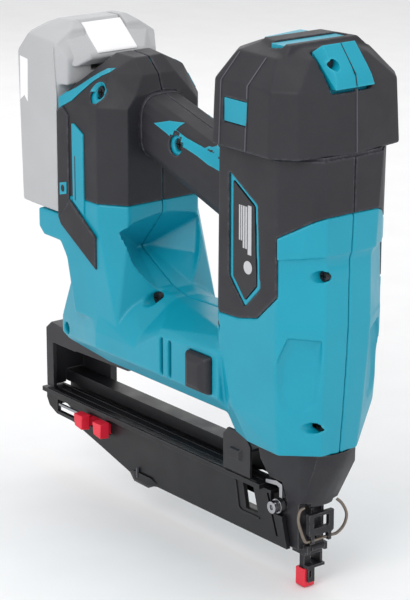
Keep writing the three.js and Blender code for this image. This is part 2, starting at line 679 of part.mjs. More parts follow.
function wireBail() {
  const right = [[12.4, -10.4, 53.6], [11.8, -12.6, 52.4], [11.2, -13.8, 47], [13.6, -13.4, 39],
    [14.6, -11.4, 33.6]];
  const left = [[15, 11.6, 33.4], [17, 15.4, 38], [17.6, 17, 45], [15, 15.6, 51], [12.6, 13.6, 53.6]];
  return tube([...right, [14.2, -9.4, 33], [14.2, 0, 33], [14.2, 9.4, 33], ...left], 0.95, 8, 60);
}

function noseBolt() {
  return join(rod('y', [-6.5, 50], 3.7, -19.6, -15.9, 16),
    rod('y', [-6.5, 50], 2.4, -16, -4.4, 12))
    .subtract(rod('y', [-6.5, 50], 1.7, -20, -17.6, 6));
}

function boltWasher() {
  return rod('y', [-6.5, 50], 4.4, -15.6, -12, 20).subtract(rod('y', [-6.5, 50], 2.7, -16, -11, 16));
}

function guideClip() {
  return plateXZ([[-17, 61.4], [-17, 63.6], [-7, 65.4], [-2.2, 64.4], [-2.2, 56], [-4.6, 56],
    [-4.6, 61.8], [-7, 62.6]], -15.2, -11.7);
}

// ---- magazine -------------------------------------------------------------------
function magazineRail() {
  const head = [[-19.5, 76], [-54.5, 76], [-58, RAIL_TOP], [-238, RAIL_TOP]];
  const outline = [...head, [-238, 47], [-230, 43.4], [-212, 43], [-188, 37], [-156, 28.6],
    [-150, 27], [-140, 26], [-9.2, 26], [-9.2, 53]];
  let r = join(plateXZ(outline, 1.6, 9), plateXZ([...head, [-238, 62], [-13, 62]], -2.6, 9));
  r = cut(r, plateXZ(inward(outline, 3.4), 4.6, 10).subtract(box([-300, 0], [0, 20], [58, 90])),
    box([-300, 0], [-1.4, 1.7], [25, 66]),
    plateXZ([[-66, 50], [-40.5, 58], [-25.5, 58], [-20.6, 37], [-36, 30.6], [-62, 30.6]], -20, 20));
  return r;
}

const DOOR_OUTLINE = [[-241, 57.2], [-241, 52], [-238, 47], [-230, 43.4], [-212, 43], [-188, 37],
  [-156, 28.6], [-150, 27], [-140, 24], [-131, 23.7], [-122, 25.8], [2.4, 25.8], [-2.6, 44.4],
  [-12.6, 44.4], [-12.6, 57.2]];

function magazineDoor() {
  let d = join(
    plateXZ(DOOR_OUTLINE, DOOR_Y[0], DOOR_Y[1]),
    box([-241, -19], [-18.4, -3.2], FLANGE_Z),
    box([-241, -12.6], [-15, -1.7], [55, 57.4]),
    box([-130, -9.4], [-15, -1.7], [25.8, 27.8]),
    box([-130, -9.4], [-3.6, -1.7], [25.8, 36]),
    plateXZ([[-238.4, 57.2], [-238.4, 48], [-230, 44.4], [-9.4, 44.4], [-9.4, 57.2]], -3.6, -1.7),
    plateXZ([[-241, 57.2], [-241, 52], [-238.3, 47.3], [-236.4, 46.6], [-239.2, 52.6], [-239.2, 57.2]],
      -15, -1.7),
  );
  d = cut(d,
    plateXZ([[-38.1, 55.1], [-28.4, 55.1], [-23.7, 39.8], [-34.8, 39.6]], -30, 10),
    plateXZ([[-16.2, 55.4], [-14.2, 55.4], [-5.4, 31], [-7.4, 31]], -30, -5),
    box([-60, -34], [-3.8, -1.5], [33, 37]),
    box([-229, -170], [-30, -5], [45.4, 53.4]));
  return d;
}

function doorGrip() {
  return join(hull([[-177.6, -24, 54.6], [-168.8, -24, 54.6], [-176.6, -24, 46.6], [-169.4, -24, 45.2],
    [-178, -17.4, 54.8], [-168.4, -17.4, 54.8], [-177.6, -17.4, 45], [-169, -17.4, 44.2]]),
  box([-177, -170.6], [-18, -8], [46.2, 52.6]));
}

function doorRelease() {
  return join(hull([[-198.2, -24, 54.6], [-189.2, -24, 54.6], [-197.2, -24, 46.6],
    [-189.8, -24, 45.2], [-198.6, -17.4, 54.8], [-188.8, -17.4, 54.8], [-198.2, -17.4, 45],
    [-189.4, -17.4, 44.2]]),
  box([-197, -190.4], [-18, -8], [46.2, 52.6]));
}

function pusher() {
  return join(box([-86, -62], [-1.1, 1.1], [34, 56]), box([-86, -74], [-6, 0], [38, 43.8]));
}

function pusherSpring() {
  return rod('y', [-80, 41], 4.6, -11.8, -6.4, 20).subtract(rod('y', [-80, 41], 1.6, -12, -6, 12));
}

function rearBracket() {
  const outline = [[-239, 61], [-239, 100], [-233, 105], [-214, 103], [-206, 98.6], [-142, 98.6],
    [-150, 93.5], [-206, 92], [-206, 61]];
  let b = plateXZ(outline, -16, 16);
  b = cut(b,
    box([-231.6, -200], [-20, 11], [60, 91.4]),
    box([-236, -200], [-13.2, 11], [60, 91.4]),
    box([-205, -150], [-12.6, 12.6], [80, 96]),
    rod('y', [-197.5, 112], 8.4, -30, 30, 20),
    // room for the rail and the cover's flange
    box([-300, -150], [-3, 9.4], [20, RAIL_TOP + 0.4]), box([-300, -150], [-30, -2], [20, 60.5]));
  return b;
}

function frontBracket() {
  const plate = plateXZ([[-53, 61], [-53, 82], [-49, 86.6], [-34, 86.6], [-28, 80], [-28, 61]], -18, -16.2);
  return join(plate, box([-53, -28], [-18, 3], [76.6, 78.4]),
    hull([[-47, -16.5, 68], [-47, -16.5, 77], [-35, -16.5, 68], [-35, -16.5, 77],
      [-45, -19.4, 69.6], [-45, -19.4, 75.4], [-37, -19.4, 69.6], [-37, -19.4, 75.4]]));
}

// ---- handle pieces --------------------------------------------------------------
function trigger() {
  const outline = [[-54, 214], [-52, 206], [-56, 192], [-60, 189], [-61.4, 196], [-62.6, 205],
    [-66, 212], [-74, 217], [-74, 221], [-56, 219]];
  return plateXZ(outline, -5.6, 5.6).subtract(rod('y', [-55.6, 214.6], 1.7, -10, 10, 12));
}

function triggerSwitch() {
  return join(box([-90, -66], [-6.4, 6.4], [231.4, 243]), box([-74, -70], [-2, 2], [226, 232]));
}

function triggerSpring() {
  return rod('z', [-64, 0], 2.2, 220.6, 226, 12).subtract(rod('z', [-64, 0], 1.4, 218, 228, 12));
}

function triggerPin() {
  return rod('y', [-55.6, 214.6], 1.5, -8.5, 8.5, 12);
}

function controlBoard() {
  return join(box([-173, -171.2], [-27, 27], [208, 262]), box([-171.4, -166], [-20, 14], [216, 232]),
    box([-171.4, -163], [-18, -6], [240, 252]), box([-171.4, -163], [2, 14], [240, 252]));
}

function screw(s) {
  const [x, y, z] = s.at;
  const head = join(rod('y', [x, z], s.r - 0.4, y + 3.6, y + 6.6, 16),
    rod('y', [x, z], 1.5, y + 6, y + 17, 10));
  const slot = join(box([x - 2.1, x + 2.1], [y, y + 5], [z - 0.5, z + 0.5]),
    box([x - 0.5, x + 0.5], [y, y + 5], [z - 2.1, z + 2.1]));
  return head.subtract(slot);
}

// ---- scene ----------------------------------------------------------------------
const tool = new THREE.Group();
tool.position.set(-PAD_X, 0, 0);
const root = new THREE.Group();
root.add(tool);

function place(name, shape, [color, roughness, metalness]) {
  const mesh = shape.getMesh();
  const g = new THREE.BufferGeometry();
  g.setAttribute('position', new THREE.BufferAttribute(new Float32Array(mesh.vertProperties), 3));
  g.setIndex(new THREE.BufferAttribute(new Uint32Array(mesh.triVerts), 1));
  g.computeVertexNormals();
  const piece = new THREE.Mesh(g, new THREE.MeshStandardMaterial({ color, roughness, metalness }));
  piece.name = name;
  tool.add(piece);
}

const shells = housing();
place('right_housing', shells.intersect(RIGHT), TEAL);
place('left_housing', shells.intersect(LEFT), TEAL);
place('head_cover', headCover(), TEAL);
place('head_bumper', headBumper(), RUBBER);
place('right_body_overmold', bodyLayer().intersect(RIGHT), RUBBER);
place('left_body_overmold', bodyLayer().intersect(LEFT), RUBBER);
place('right_handle_grip', gripLayer().intersect(RIGHT), RUBBER);
place('left_handle_grip', gripLayer().intersect(LEFT), RUBBER);
place('right_foot_overmold', footLayer().intersect(RIGHT), RUBBER);
place('left_foot_overmold', footLayer().intersect(LEFT), RUBBER);
place('name_plate', namePlate(), GREY);
place('right_side_pad', sidePad(-1), RUBBER);
place('left_side_pad', sidePad(1), RUBBER);
place('terminal_block', terminalBlock(), BLACK);
place('battery_case', batteryCase(), PACK);
place('battery_cells', batteryCells(), ALLOY);
place('battery_button', batteryButton(), PACK);
place('control_board', controlBoard(), BOARD);
for (const s of SCREWS) place(s.name, screw(s), STEEL);

place('cylinder', cylinder(), ALLOY);
place('air_chamber', airChamber(), ALLOY);
place('piston', ring(18.4, 5, PISTON_Z, PISTON_Z + 10), ALLOY);
place('driver_blade', join(bladeRack(), rod('z', [AXIS_X, 0], 4.8, PISTON_Z - 1, PISTON_Z + 8, 16)), STEEL);
place('piston_bumper', ring(17.6, 9, CYL_Z[0] + 3.3, PISTON_Z - STROKE - 1), RUBBER);
place('lifter_wheel', lifterWheel(), STEEL);
place('gearbox_case', gearboxCase(), ALLOY);
place('motor_can', motorCan(), STEEL);
place('motor_rotor', motorRotor(), COPPER);
place('cooling_fan', coolingFan(), BLACK);

place('nose_base', noseBase(), CAST);
place('contact_arm', contactArm(), CAST);
place('contact_tip', contactTip(), RED);
place('contact_spring', contactSpring(), STEEL);
place('nose_door', noseDoor(), CAST);
place('latch_lever', latchLever(), CAST);
place('wire_bail', wireBail(), WIRE);
place('nose_bolt', noseBolt(), STEEL);
place('bolt_washer', boltWasher(), STEEL);
place('guide_clip', guideClip(), STEEL);

place('magazine_rail', magazineRail(), BLACK);
place('magazine_cover', magazineDoor(), BLACK);
place('cover_grip', doorGrip(), RED);
place('cover_release', doorRelease(), RED);
place('pusher', pusher(), STEEL);
place('pusher_spring', pusherSpring(), STEEL);
place('rear_bracket', rearBracket(), GREY);
place('front_bracket', frontBracket(), GREY);

place('trigger', trigger(), BLACK);
place('trigger_pin', triggerPin(), STEEL);
place('trigger_switch', triggerSwitch(), BLACK);
place('trigger_spring', triggerSpring(), STEEL);

export default root;
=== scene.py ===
"""Cordless brad nailer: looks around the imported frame. Metres, row frame."""
import bmesh
import bpy
import json
import math
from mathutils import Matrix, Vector
from mathutils.bvhtree import BVHTree


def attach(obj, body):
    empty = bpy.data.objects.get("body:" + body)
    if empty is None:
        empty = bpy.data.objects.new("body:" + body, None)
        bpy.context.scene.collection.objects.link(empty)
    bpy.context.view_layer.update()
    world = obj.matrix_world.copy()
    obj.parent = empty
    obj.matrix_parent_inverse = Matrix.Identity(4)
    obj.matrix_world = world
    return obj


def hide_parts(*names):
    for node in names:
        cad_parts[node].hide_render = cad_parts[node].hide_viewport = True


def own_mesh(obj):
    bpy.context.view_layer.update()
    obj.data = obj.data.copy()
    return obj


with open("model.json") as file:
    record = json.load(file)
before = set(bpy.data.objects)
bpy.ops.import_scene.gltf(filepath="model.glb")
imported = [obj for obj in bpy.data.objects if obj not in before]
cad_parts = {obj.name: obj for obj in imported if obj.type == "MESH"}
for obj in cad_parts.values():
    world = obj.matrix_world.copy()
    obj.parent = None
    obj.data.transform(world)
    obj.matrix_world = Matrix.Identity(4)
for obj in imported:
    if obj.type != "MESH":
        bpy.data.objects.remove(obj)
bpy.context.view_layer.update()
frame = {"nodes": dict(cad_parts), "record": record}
NODES = frame["nodes"]
RECORD = frame["record"]
PAD_X = 4.5  # front pad of the contact tip, from the tool's own datum, in mm
WELD = 0.02 / 1000  # points closer than this are one point
EDGE_SEGMENTS = 2
BODY_OF = {}
for body_name, its_nodes in RECORD["behaviour"]["bodies"].items():
    for its_node in its_nodes["nodes"] if isinstance(its_nodes, dict) else its_nodes:
        BODY_OF[its_node] = body_name


def mm(x, y, z):
    """A point in the tool's own millimetres, in the row frame's metres."""
    return Vector(((x - PAD_X) / 1000, y / 1000, z / 1000))


# ---- materials ------------------------------------------------------------------
def tint(r, g, b):
    def lin(c):
        c /= 255
        return c / 12.92 if c <= 0.04045 else ((c + 0.055) / 1.055) ** 2.4
    return (lin(r), lin(g), lin(b), 1.0)


class Shade:
    """A node material built up one layer at a time."""

    def __init__(self, name, tone, dark, rough, metallic=0.0, specular=0.5):
        self.m = bpy.data.materials.new(name)
        self.m.use_nodes = True
        self.t = self.m.node_tree
        self.p = self.t.nodes["Principled BSDF"]
        self.p.inputs["Metallic"].default_value = metallic
        self.p.inputs["Specular IOR Level"].default_value = specular
        self.co = self.t.nodes.new("ShaderNodeTexCoord").outputs["Object"]
        blotch = self.noise(24, 2, 0.5)
        self.colour = self.mix(self.span(blotch, 0.3, 0.75), tone, dark)
        self.rough = self.span(self.noise(60, 3, 0.55), 0.3, 0.75, rough[0], rough[1])
        self.height = None

    def node(self, kind):
        return self.t.nodes.new(kind)

    def link(self, a, b):
        self.t.links.new(a, b)

    def noise(self, scale, detail=2, rough=0.5, stretch=None):
        n = self.node("ShaderNodeTexNoise")
        n.inputs["Scale"].default_value = scale
        n.inputs["Detail"].default_value = detail
        n.inputs["Roughness"].default_value = rough
        source = self.co
        if stretch:
            m = self.node("ShaderNodeMapping")
            m.inputs["Scale"].default_value = stretch
            self.link(self.co, m.inputs["Vector"])
            source = m.outputs["Vector"]
        self.link(source, n.inputs["Vector"])
        return n.outputs["Fac"]

    def span(self, value, a, b, c=0.0, d=1.0):
        n = self.node("ShaderNodeMapRange")
        for k, v in zip(("From Min", "From Max", "To Min", "To Max"), (a, b, c, d)):
            n.inputs[k].default_value = v
        self.link(value, n.inputs["Value"])
        return n.outputs["Result"]

    def times(self, a, b, kind="MULTIPLY"):
        n = self.node("ShaderNodeMath")
        n.operation = kind
        for k, v in enumerate((a, b)):
            if isinstance(v, (int, float)):
                n.inputs[k].default_value = v
            else:
                self.link(v, n.inputs[k])
        return n.outputs[0]

    def mix(self, factor, a, b):
        n = self.node("ShaderNodeMix")
        n.data_type = "RGBA"
        self.link(factor, n.inputs[0])
        for socket, v in ((n.inputs[6], a), (n.inputs[7], b)):
            if isinstance(v, tuple):
                socket.default_value = v
            else:
                self.link(v, socket)
        return n.outputs[2]

    def edge_wear_and_highlight(self, tone, amount=0.6, gloss=-0.08, radius=0.0009):
        """Rubbed edges and painted edge highlight: lighter where the surface turns, broken up by noise;
        partly real wear, partly painted highlight along the edges.
        """
        geo = self.node("ShaderNodeNewGeometry")
        turned = self.node("ShaderNodeBevel")
        turned.samples = 4
        turned.inputs["Radius"].default_value = radius
        agree = self.node("ShaderNodeVectorMath")
        agree.operation = "DOT_PRODUCT"
        self.link(turned.outputs["Normal"], agree.inputs[0])
        self.link(geo.outputs["Normal"], agree.inputs[1])
        edge = self.span(agree.outputs["Value"], 0.995, 0.86)
        rubbed_and_highlit = self.times(edge, self.span(self.noise(320, 4, 0.7), 0.38, 0.68, 0, amount))
        # painted highlight: edges are lightened partly as real wear and partly to stand in for the
        # highlights that edges catch
        self.colour = self.mix(rubbed_and_highlit, self.colour, tone)
        self.rough = self.times(self.rough, self.times(rubbed_and_highlit, gloss), "ADD")
        return self

    def specks(self, tone, scale=2600, amount=0.35):
        fine = self.span(self.noise(scale, 1, 0.5), 0.6, 0.75, 0, amount)
        self.colour = self.mix(fine, self.colour, tone)
        return self

    def grain(self, scale, strength, kind="noise", stretch=None, detail=3):
        if kind == "cells":
            v = self.node("ShaderNodeTexVoronoi")
            v.inputs["Scale"].default_value = scale
            self.link(self.co, v.inputs["Vector"])
            raw = v.outputs["Distance"]
        else:
            raw = self.noise(scale, detail, 0.6, stretch)
        raw = self.times(raw, strength)
        self.height = raw if self.height is None else self.times(self.height, raw, "ADD")
        return self

    def done(self, distance=0.0002, strength=1.0):
        self.link(self.colour, self.p.inputs["Base Color"])
        self.link(self.rough, self.p.inputs["Roughness"])
        bump = self.node("ShaderNodeBump")
        bump.inputs["Strength"].default_value = strength
        bump.inputs["Distance"].default_value = distance
        self.link(self.height, bump.inputs["Height"])
        self.link(bump.outputs["Normal"], self.p.inputs["Normal"])
        return self.m


TEAL = tint(5, 152, 177)
# each material's edge lightening below is partly real wear and partly painted edge highlight
MAT = {
    "housing_shell": Shade("teal_shell", TEAL, tint(3, 145, 170), (0.34, 0.44), specular=0.42)
    .specks(tint(38, 172, 192)).edge_wear_and_highlight(tint(74, 194, 210), 0.5, -0.05, 0.002)
    .grain(1500, 0.35).done(0.00008),
    "soft_grip": Shade("soft_rubber", tint(41, 41, 46), tint(36, 36, 41), (0.5, 0.64), specular=0.4)
    .specks(tint(66, 66, 73), 1900, 0.25).edge_wear_and_highlight(tint(104, 104, 113), 0.8, -0.05, 0.0022)
    .grain(1100, 0.4, "cells").done(0.0001),
    "black_plastic": Shade("black_satin", tint(22, 22, 25), tint(17, 17, 20), (0.36, 0.5), specular=0.4)
    .specks(tint(48, 48, 52), 2200, 0.22).edge_wear_and_highlight(tint(100, 100, 105), amount=0.5)
    .grain(900, 0.4).done(0.0001),
    "grey_plastic": Shade("grey_coated", tint(32, 32, 36), tint(26, 26, 30), (0.42, 0.56))
    .specks(tint(62, 62, 68), 2000, 0.22).edge_wear_and_highlight(tint(110, 110, 116), amount=0.5)
    .grain(1000, 0.4).done(0.0001),
    "nose_casting": Shade("cast_nose", tint(37, 37, 42), tint(28, 28, 33), (0.38, 0.52), 0.3)
    .specks(tint(74, 74, 80), 1500, 0.3).edge_wear_and_highlight(tint(160, 158, 154), amount=0.6, gloss=-0.12)
    .grain(900, 0.4, "cells").done(0.0001),
    "bright_steel": Shade("bright_steel", tint(176, 176, 180), tint(138, 138, 143), (0.22, 0.4), 1.0)
    .edge_wear_and_highlight(tint(214, 214, 216), amount=0.5).grain(300, 0.5, stretch=(1, 14, 1)).done(0.00006),
    "spring_wire": Shade("spring_wire", tint(138, 127, 117), tint(98, 90, 82), (0.28, 0.45), 0.9)
    .edge_wear_and_highlight(tint(190, 180, 170), amount=0.4).grain(700, 0.5, stretch=(1, 1, 6)).done(0.00006),
    "red_plastic": Shade("red_plastic", tint(235, 38, 62), tint(212, 26, 50), (0.3, 0.45))
    .specks(tint(246, 92, 104), 2300, 0.2).edge_wear_and_highlight(tint(250, 120, 126), amount=0.4)
    .grain(1300, 0.4).done(0.00008),
    "pack_plastic": Shade("pack_grey", tint(186, 187, 189), tint(178, 179, 181), (0.5, 0.62), specular=0.35)
    .specks(tint(204, 205, 206), 2000, 0.3).edge_wear_and_highlight(tint(222, 222, 223), amount=0.4)
    .grain(1200, 0.4).done(0.0001),
    "light_alloy": Shade("light_alloy", tint(182, 184, 188), tint(150, 152, 156), (0.3, 0.5), 0.9)
    .edge_wear_and_highlight(tint(216, 216, 218), amount=0.4).grain(800, 0.5).done(0.0001),
    "circuit_board": Shade("circuit_board", tint(30, 98, 62), tint(20, 72, 46), (0.4, 0.6))
    .specks(tint(190, 160, 90), 700, 0.6).edge_wear_and_highlight(tint(120, 170, 130), amount=0.4)
    .grain(900, 0.6).done(0.0001),
    "motor_core": Shade("motor_core", tint(168, 110, 62), tint(120, 74, 40), (0.3, 0.5), 0.8)
    .edge_wear_and_highlight(tint(210, 160, 110), amount=0.4).grain(500, 0.8, stretch=(8, 1, 1)).done(0.00012),
}
WHITE = Shade("pale_plastic", tint(247, 247, 248), tint(240, 240, 242), (0.4, 0.55), specular=0.35)
WHITE = WHITE.specks(tint(252, 252, 252), 2000, 0.3).grain(1200, 0.3).done(0.00008)
DARK_SCREW = Shade("blackened_screw", tint(58, 58, 60), tint(38, 38, 40), (0.35, 0.5), 0.8)
DARK_SCREW = DARK_SCREW.edge_wear_and_highlight(tint(120, 118, 114), amount=0.5).grain(500, 0.5).done(0.00008)
# a lighter rubber used as painted highlight on the head ribs, the head's front line and the cover hump
HIGHLIGHT_RUBBER = Shade("painted_highlight_rubber", tint(88, 88, 96), tint(72, 72, 80), (0.5, 0.62), specular=0.4)
HIGHLIGHT_RUBBER = HIGHLIGHT_RUBBER.specks(tint(104, 104, 112), 1900, 0.25).grain(1100, 0.4, "cells").done(0.0001)
PRINT = Shade("pale_print", tint(196, 197, 200), tint(180, 181, 185), (0.5, 0.6), specular=0.3)
PRINT = PRINT.specks(tint(215, 215, 218), 2400, 0.3).grain(1200, 0.3).done(0.00005)


def linked(ob):
    bpy.context.scene.collection.objects.link(ob)
    return ob


def finish_piece(ob, body, slot_name, *nodes, look=None):
    ob.data.materials.clear()
    ob.data.materials.append(look or MAT[slot_name])
    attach(ob, body)
    if nodes:
        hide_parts(*nodes)
    return ob


def soften(ob, width, angle=26):
    """Moulded or machined edges: a small radius on every edge sharper than angle."""
    if width > 0:
        b = ob.modifiers.new("edge_radius", "BEVEL")
        b.width = width / 1000
        b.segments = EDGE_SEGMENTS
        b.limit_method = "ANGLE"
        b.angle_limit = math.radians(angle)
        b.use_clamp_overlap = True
        b.harden_normals = False
        b.miter_outer = "MITER_ARC"
    ob.data.shade_smooth()
    n = ob.modifiers.new("weighted", "WEIGHTED_NORMAL")
    n.keep_sharp = False
    n.weight = 60
    return ob


def clean(me):
    """Joined, flat faces made whole, so that a bevel runs cleanly."""
    bm = bmesh.new()
    bm.from_mesh(me)
    bmesh.ops.remove_doubles(bm, verts=bm.verts, dist=WELD)
    bmesh.ops.dissolve_degenerate(bm, edges=bm.edges, dist=WELD)
    bmesh.ops.dissolve_limit(bm, angle_limit=math.radians(0.8), verts=bm.verts, edges=bm.edges,
                             use_dissolve_boundaries=False)
    bmesh.ops.recalc_face_normals(bm, faces=bm.faces)
    bm.to_mesh(me)
    bm.free()


def refined(node, slot_name, width=0.5):
    """The frame's solid as a finished moulding, with edge radii; it stands for the solid."""
    me = NODES[node].data.copy()
    clean(me)
    ob = linked(bpy.data.objects.new(node + "_formed", me))
    soften(ob, width)
    return finish_piece(ob, BODY_OF[node], slot_name, node)


def baked_mesh(ob):
    """The object's mesh with its modifiers applied."""
    me = bpy.data.meshes.new_from_object(ob.evaluated_get(bpy.context.evaluated_depsgraph_get()))
    ob.modifiers.clear()
    ob.data = me


def moulded(node, slot_name, voxel, rounds, keep=0.2):
    """The frame's solid with the soft rolled edges of a moulding: remeshed finely, eased, thinned."""
    me = NODES[node].data.copy()
    clean(me)
    ob = linked(bpy.data.objects.new(node + "_formed", me))
    r = ob.modifiers.new("fine", "REMESH")
    r.mode = "VOXEL"
    r.voxel_size = voxel / 1000
    e = ob.modifiers.new("ease", "SMOOTH")
    e.factor = 0.5
    e.iterations = rounds
    d = ob.modifiers.new("thin", "DECIMATE")
    d.ratio = keep
    baked_mesh(ob)
    soften(ob, 0)
    return finish_piece(ob, BODY_OF[node], slot_name, node)


MOULDED = {
    "right_housing": ("housing_shell", 0.8, 5), "left_housing": ("housing_shell", 0.8, 5),
    "head_bumper": ("soft_grip", 0.8, 8),
    "right_body_overmold": ("soft_grip", 0.6, 5), "left_body_overmold": ("soft_grip", 0.6, 5),
    "right_handle_grip": ("soft_grip", 0.5, 3), "left_handle_grip": ("soft_grip", 0.5, 3),
    "right_foot_overmold": ("soft_grip", 0.6, 8), "left_foot_overmold": ("soft_grip", 0.6, 8),
    "battery_case": ("pack_plastic", 0.9, 6),
}
REFINED = {
    "head_cover": ("housing_shell", 0.5),
    "name_plate": ("grey_plastic", 0.3),
    "right_side_pad": ("soft_grip", 0.6), "left_side_pad": ("soft_grip", 0.6),
    "terminal_block": ("black_plastic", 0.3),
    "battery_button": ("pack_plastic", 0.8),
    "nose_base": ("nose_casting", 0.5), "contact_arm": ("nose_casting", 0.3),
    "contact_tip": ("red_plastic", 0.6), "nose_door": ("nose_casting", 0.25),
    "latch_lever": ("nose_casting", 0.5), "nose_bolt": ("bright_steel", 0.25),
    "bolt_washer": ("bright_steel", 0.2), "guide_clip": ("bright_steel", 0.2),
    "magazine_rail": ("black_plastic", 0.4), "magazine_cover": ("black_plastic", 0.5),
    "cover_grip": ("red_plastic", 0.8), "cover_release": ("red_plastic", 0.8),
    "rear_bracket": ("grey_plastic", 0.8), "front_bracket": ("grey_plastic", 0.5),
    "trigger": ("black_plastic", 1.2), "pusher": ("bright_steel", 0.2),
}
KEPT = {
    "battery_cells": "light_alloy", "control_board": "circuit_board", "cylinder": "light_alloy",
    "air_chamber": "light_alloy", "piston": "light_alloy", "driver_blade": "bright_steel",
    "piston_bumper": "soft_grip", "lifter_wheel": "bright_steel", "gearbox_case": "light_alloy",
    "motor_can": "bright_steel", "motor_rotor": "motor_core", "cooling_fan": "black_plastic",
    "wire_bail": "spring_wire", "pusher_spring": "bright_steel",
    "trigger_pin": "bright_steel", "trigger_switch": "black_plastic",
    "screw_body_lower": "bright_steel", "screw_body_upper": "bright_steel",
    "screw_arm_front": "bright_steel", "screw_arm_rear": "bright_steel",
    "screw_rear_boss": "bright_steel", "screw_handle": "bright_steel", "screw_foot": "bright_steel",
}
for node_name, how in REFINED.items():
    refined(node_name, *how)
for node_name, how in MOULDED.items():
    moulded(node_name, *how)
for node_name, slot_name in KEPT.items():
    look = DARK_SCREW if node_name.startswith("screw_") else MAT[slot_name]
    for place in NODES[node_name].material_slots:
        place.material = look

# ---- details that the frame's solids don't carry -------------------------------
def closed(name, verts, faces):
    me = bpy.data.meshes.new(name)
    me.from_pydata(verts, [], faces)
    me.update()
    bm = bmesh.new()
    bm.from_mesh(me)
    bmesh.ops.recalc_face_normals(bm, faces=bm.faces)
    bm.to_mesh(me)
    bm.free()
    return linked(bpy.data.objects.new(name, me))


def slab(name, outline, y0, y1, slot_name, body="housing", edge=0.3, look=None):
    """An outline in the tool's XZ plane, from y0 to y1."""
    n = len(outline)
    verts = [mm(x, y, z) for y in (y0, y1) for x, z in outline]
    faces = [list(range(n)), list(range(n, 2 * n))]
    faces += [[k, (k + 1) % n, n + (k + 1) % n, n + k] for k in range(n)]
    ob = closed(name, verts, faces)
    soften(ob, edge, 30)
    return finish_piece(ob, body, slot_name, look=look)


def hulled(name, points, slot_name, body="housing", edge=0.4, look=None):
    """The convex body round some points."""
    bm = bmesh.new()
    for p in points:
        bm.verts.new(mm(*p))
    bmesh.ops.convex_hull(bm, input=bm.verts)
    loose = [v for v in bm.verts if not v.link_faces]
    bmesh.ops.delete(bm, geom=loose, context="VERTS")
    me = bpy.data.meshes.new(name)
    bm.to_mesh(me)
    bm.free()
    clean(me)
    ob = linked(bpy.data.objects.new(name, me))
    soften(ob, edge, 20)
    return finish_piece(ob, body, slot_name, look=look)


def paired(points, half):
    """Points of the XZ plane at y = -half and y = half, each pair together."""
    return [(x, y, z) for x, z in points for y in (-half, half)]


def both(points):
    return [(x, s * y, z) for x, y, z in points for s in (-1, 1)]


def surface_of(*nodes):
    verts, polys = [], []
    for n in nodes:
        start = len(verts)
        verts += [v.co.copy() for v in NODES[n].data.vertices]
        polys += [[start + i for i in p.vertices] for p in NODES[n].data.polygons]
    return BVHTree.FromPolygons(verts, polys)


def drape(name, outline, tree, side, lift, depth, slot_name, body="housing", cell=3.0, edge=0.25,
          look=None):
    """An outline laid on a surface along Y: it stands lift proud of it and reaches depth into it."""
    bm = bmesh.new()
    bm.faces.new([bm.verts.new((x, 0, z)) for x, z in outline])
    for axis in (0, 2):
        span = [p[0 if axis == 0 else 1] for p in outline]
        at = min(span) + cell
        while at < max(span) - 0.4:
            co, no = [0, 0, 0], [0, 0, 0]
            co[axis], no[axis] = at, 1
            bmesh.ops.bisect_plane(bm, geom=bm.verts[:] + bm.edges[:] + bm.faces[:], plane_co=co,
                                   plane_no=no)
            at += cell
    bmesh.ops.remove_doubles(bm, verts=bm.verts, dist=0.02)
    outer = {}
    for v in bm.verts:
        hit = tree.ray_cast(mm(v.co.x, side * 90, v.co.z), Vector((0, -side, 0)))[0]
        outer[v] = hit.y * 1000 if hit else None
    for v, y in outer.items():
        if y is None:
            known = [((w.co - v.co).length, k) for k, w in enumerate(outer) if outer[w] is not None]
            outer[v] = outer[list(outer)[min(known)[1]]]
    top = list(bm.verts)
    made = bmesh.ops.extrude_face_region(bm, geom=bm.faces[:])
    under = [g for g in made["geom"] if isinstance(g, bmesh.types.BMVert)]
    flat = {(round(v.co.x, 3), round(v.co.z, 3)): outer[v] for v in top}
    for v in under:
        v.co.y = flat[(round(v.co.x, 3), round(v.co.z, 3))] - side * depth
    for v in top:
        v.co.y = outer[v] + side * lift
    for v in bm.verts:
        v.co = mm(v.co.x, v.co.y, v.co.z)
    bmesh.ops.recalc_face_normals(bm, faces=bm.faces)
    me = bpy.data.meshes.new(name)
    bm.to_mesh(me)
    bm.free()
    ob = linked(bpy.data.objects.new(name, me))
    soften(ob, edge, 40)
    return finish_piece(ob, body, slot_name, look=look)


FOOT = surface_of("right_housing", "left_housing", "right_foot_overmold", "left_foot_overmold")
GRIP = surface_of("right_handle_grip", "left_handle_grip")
HEAD = surface_of("head_bumper")

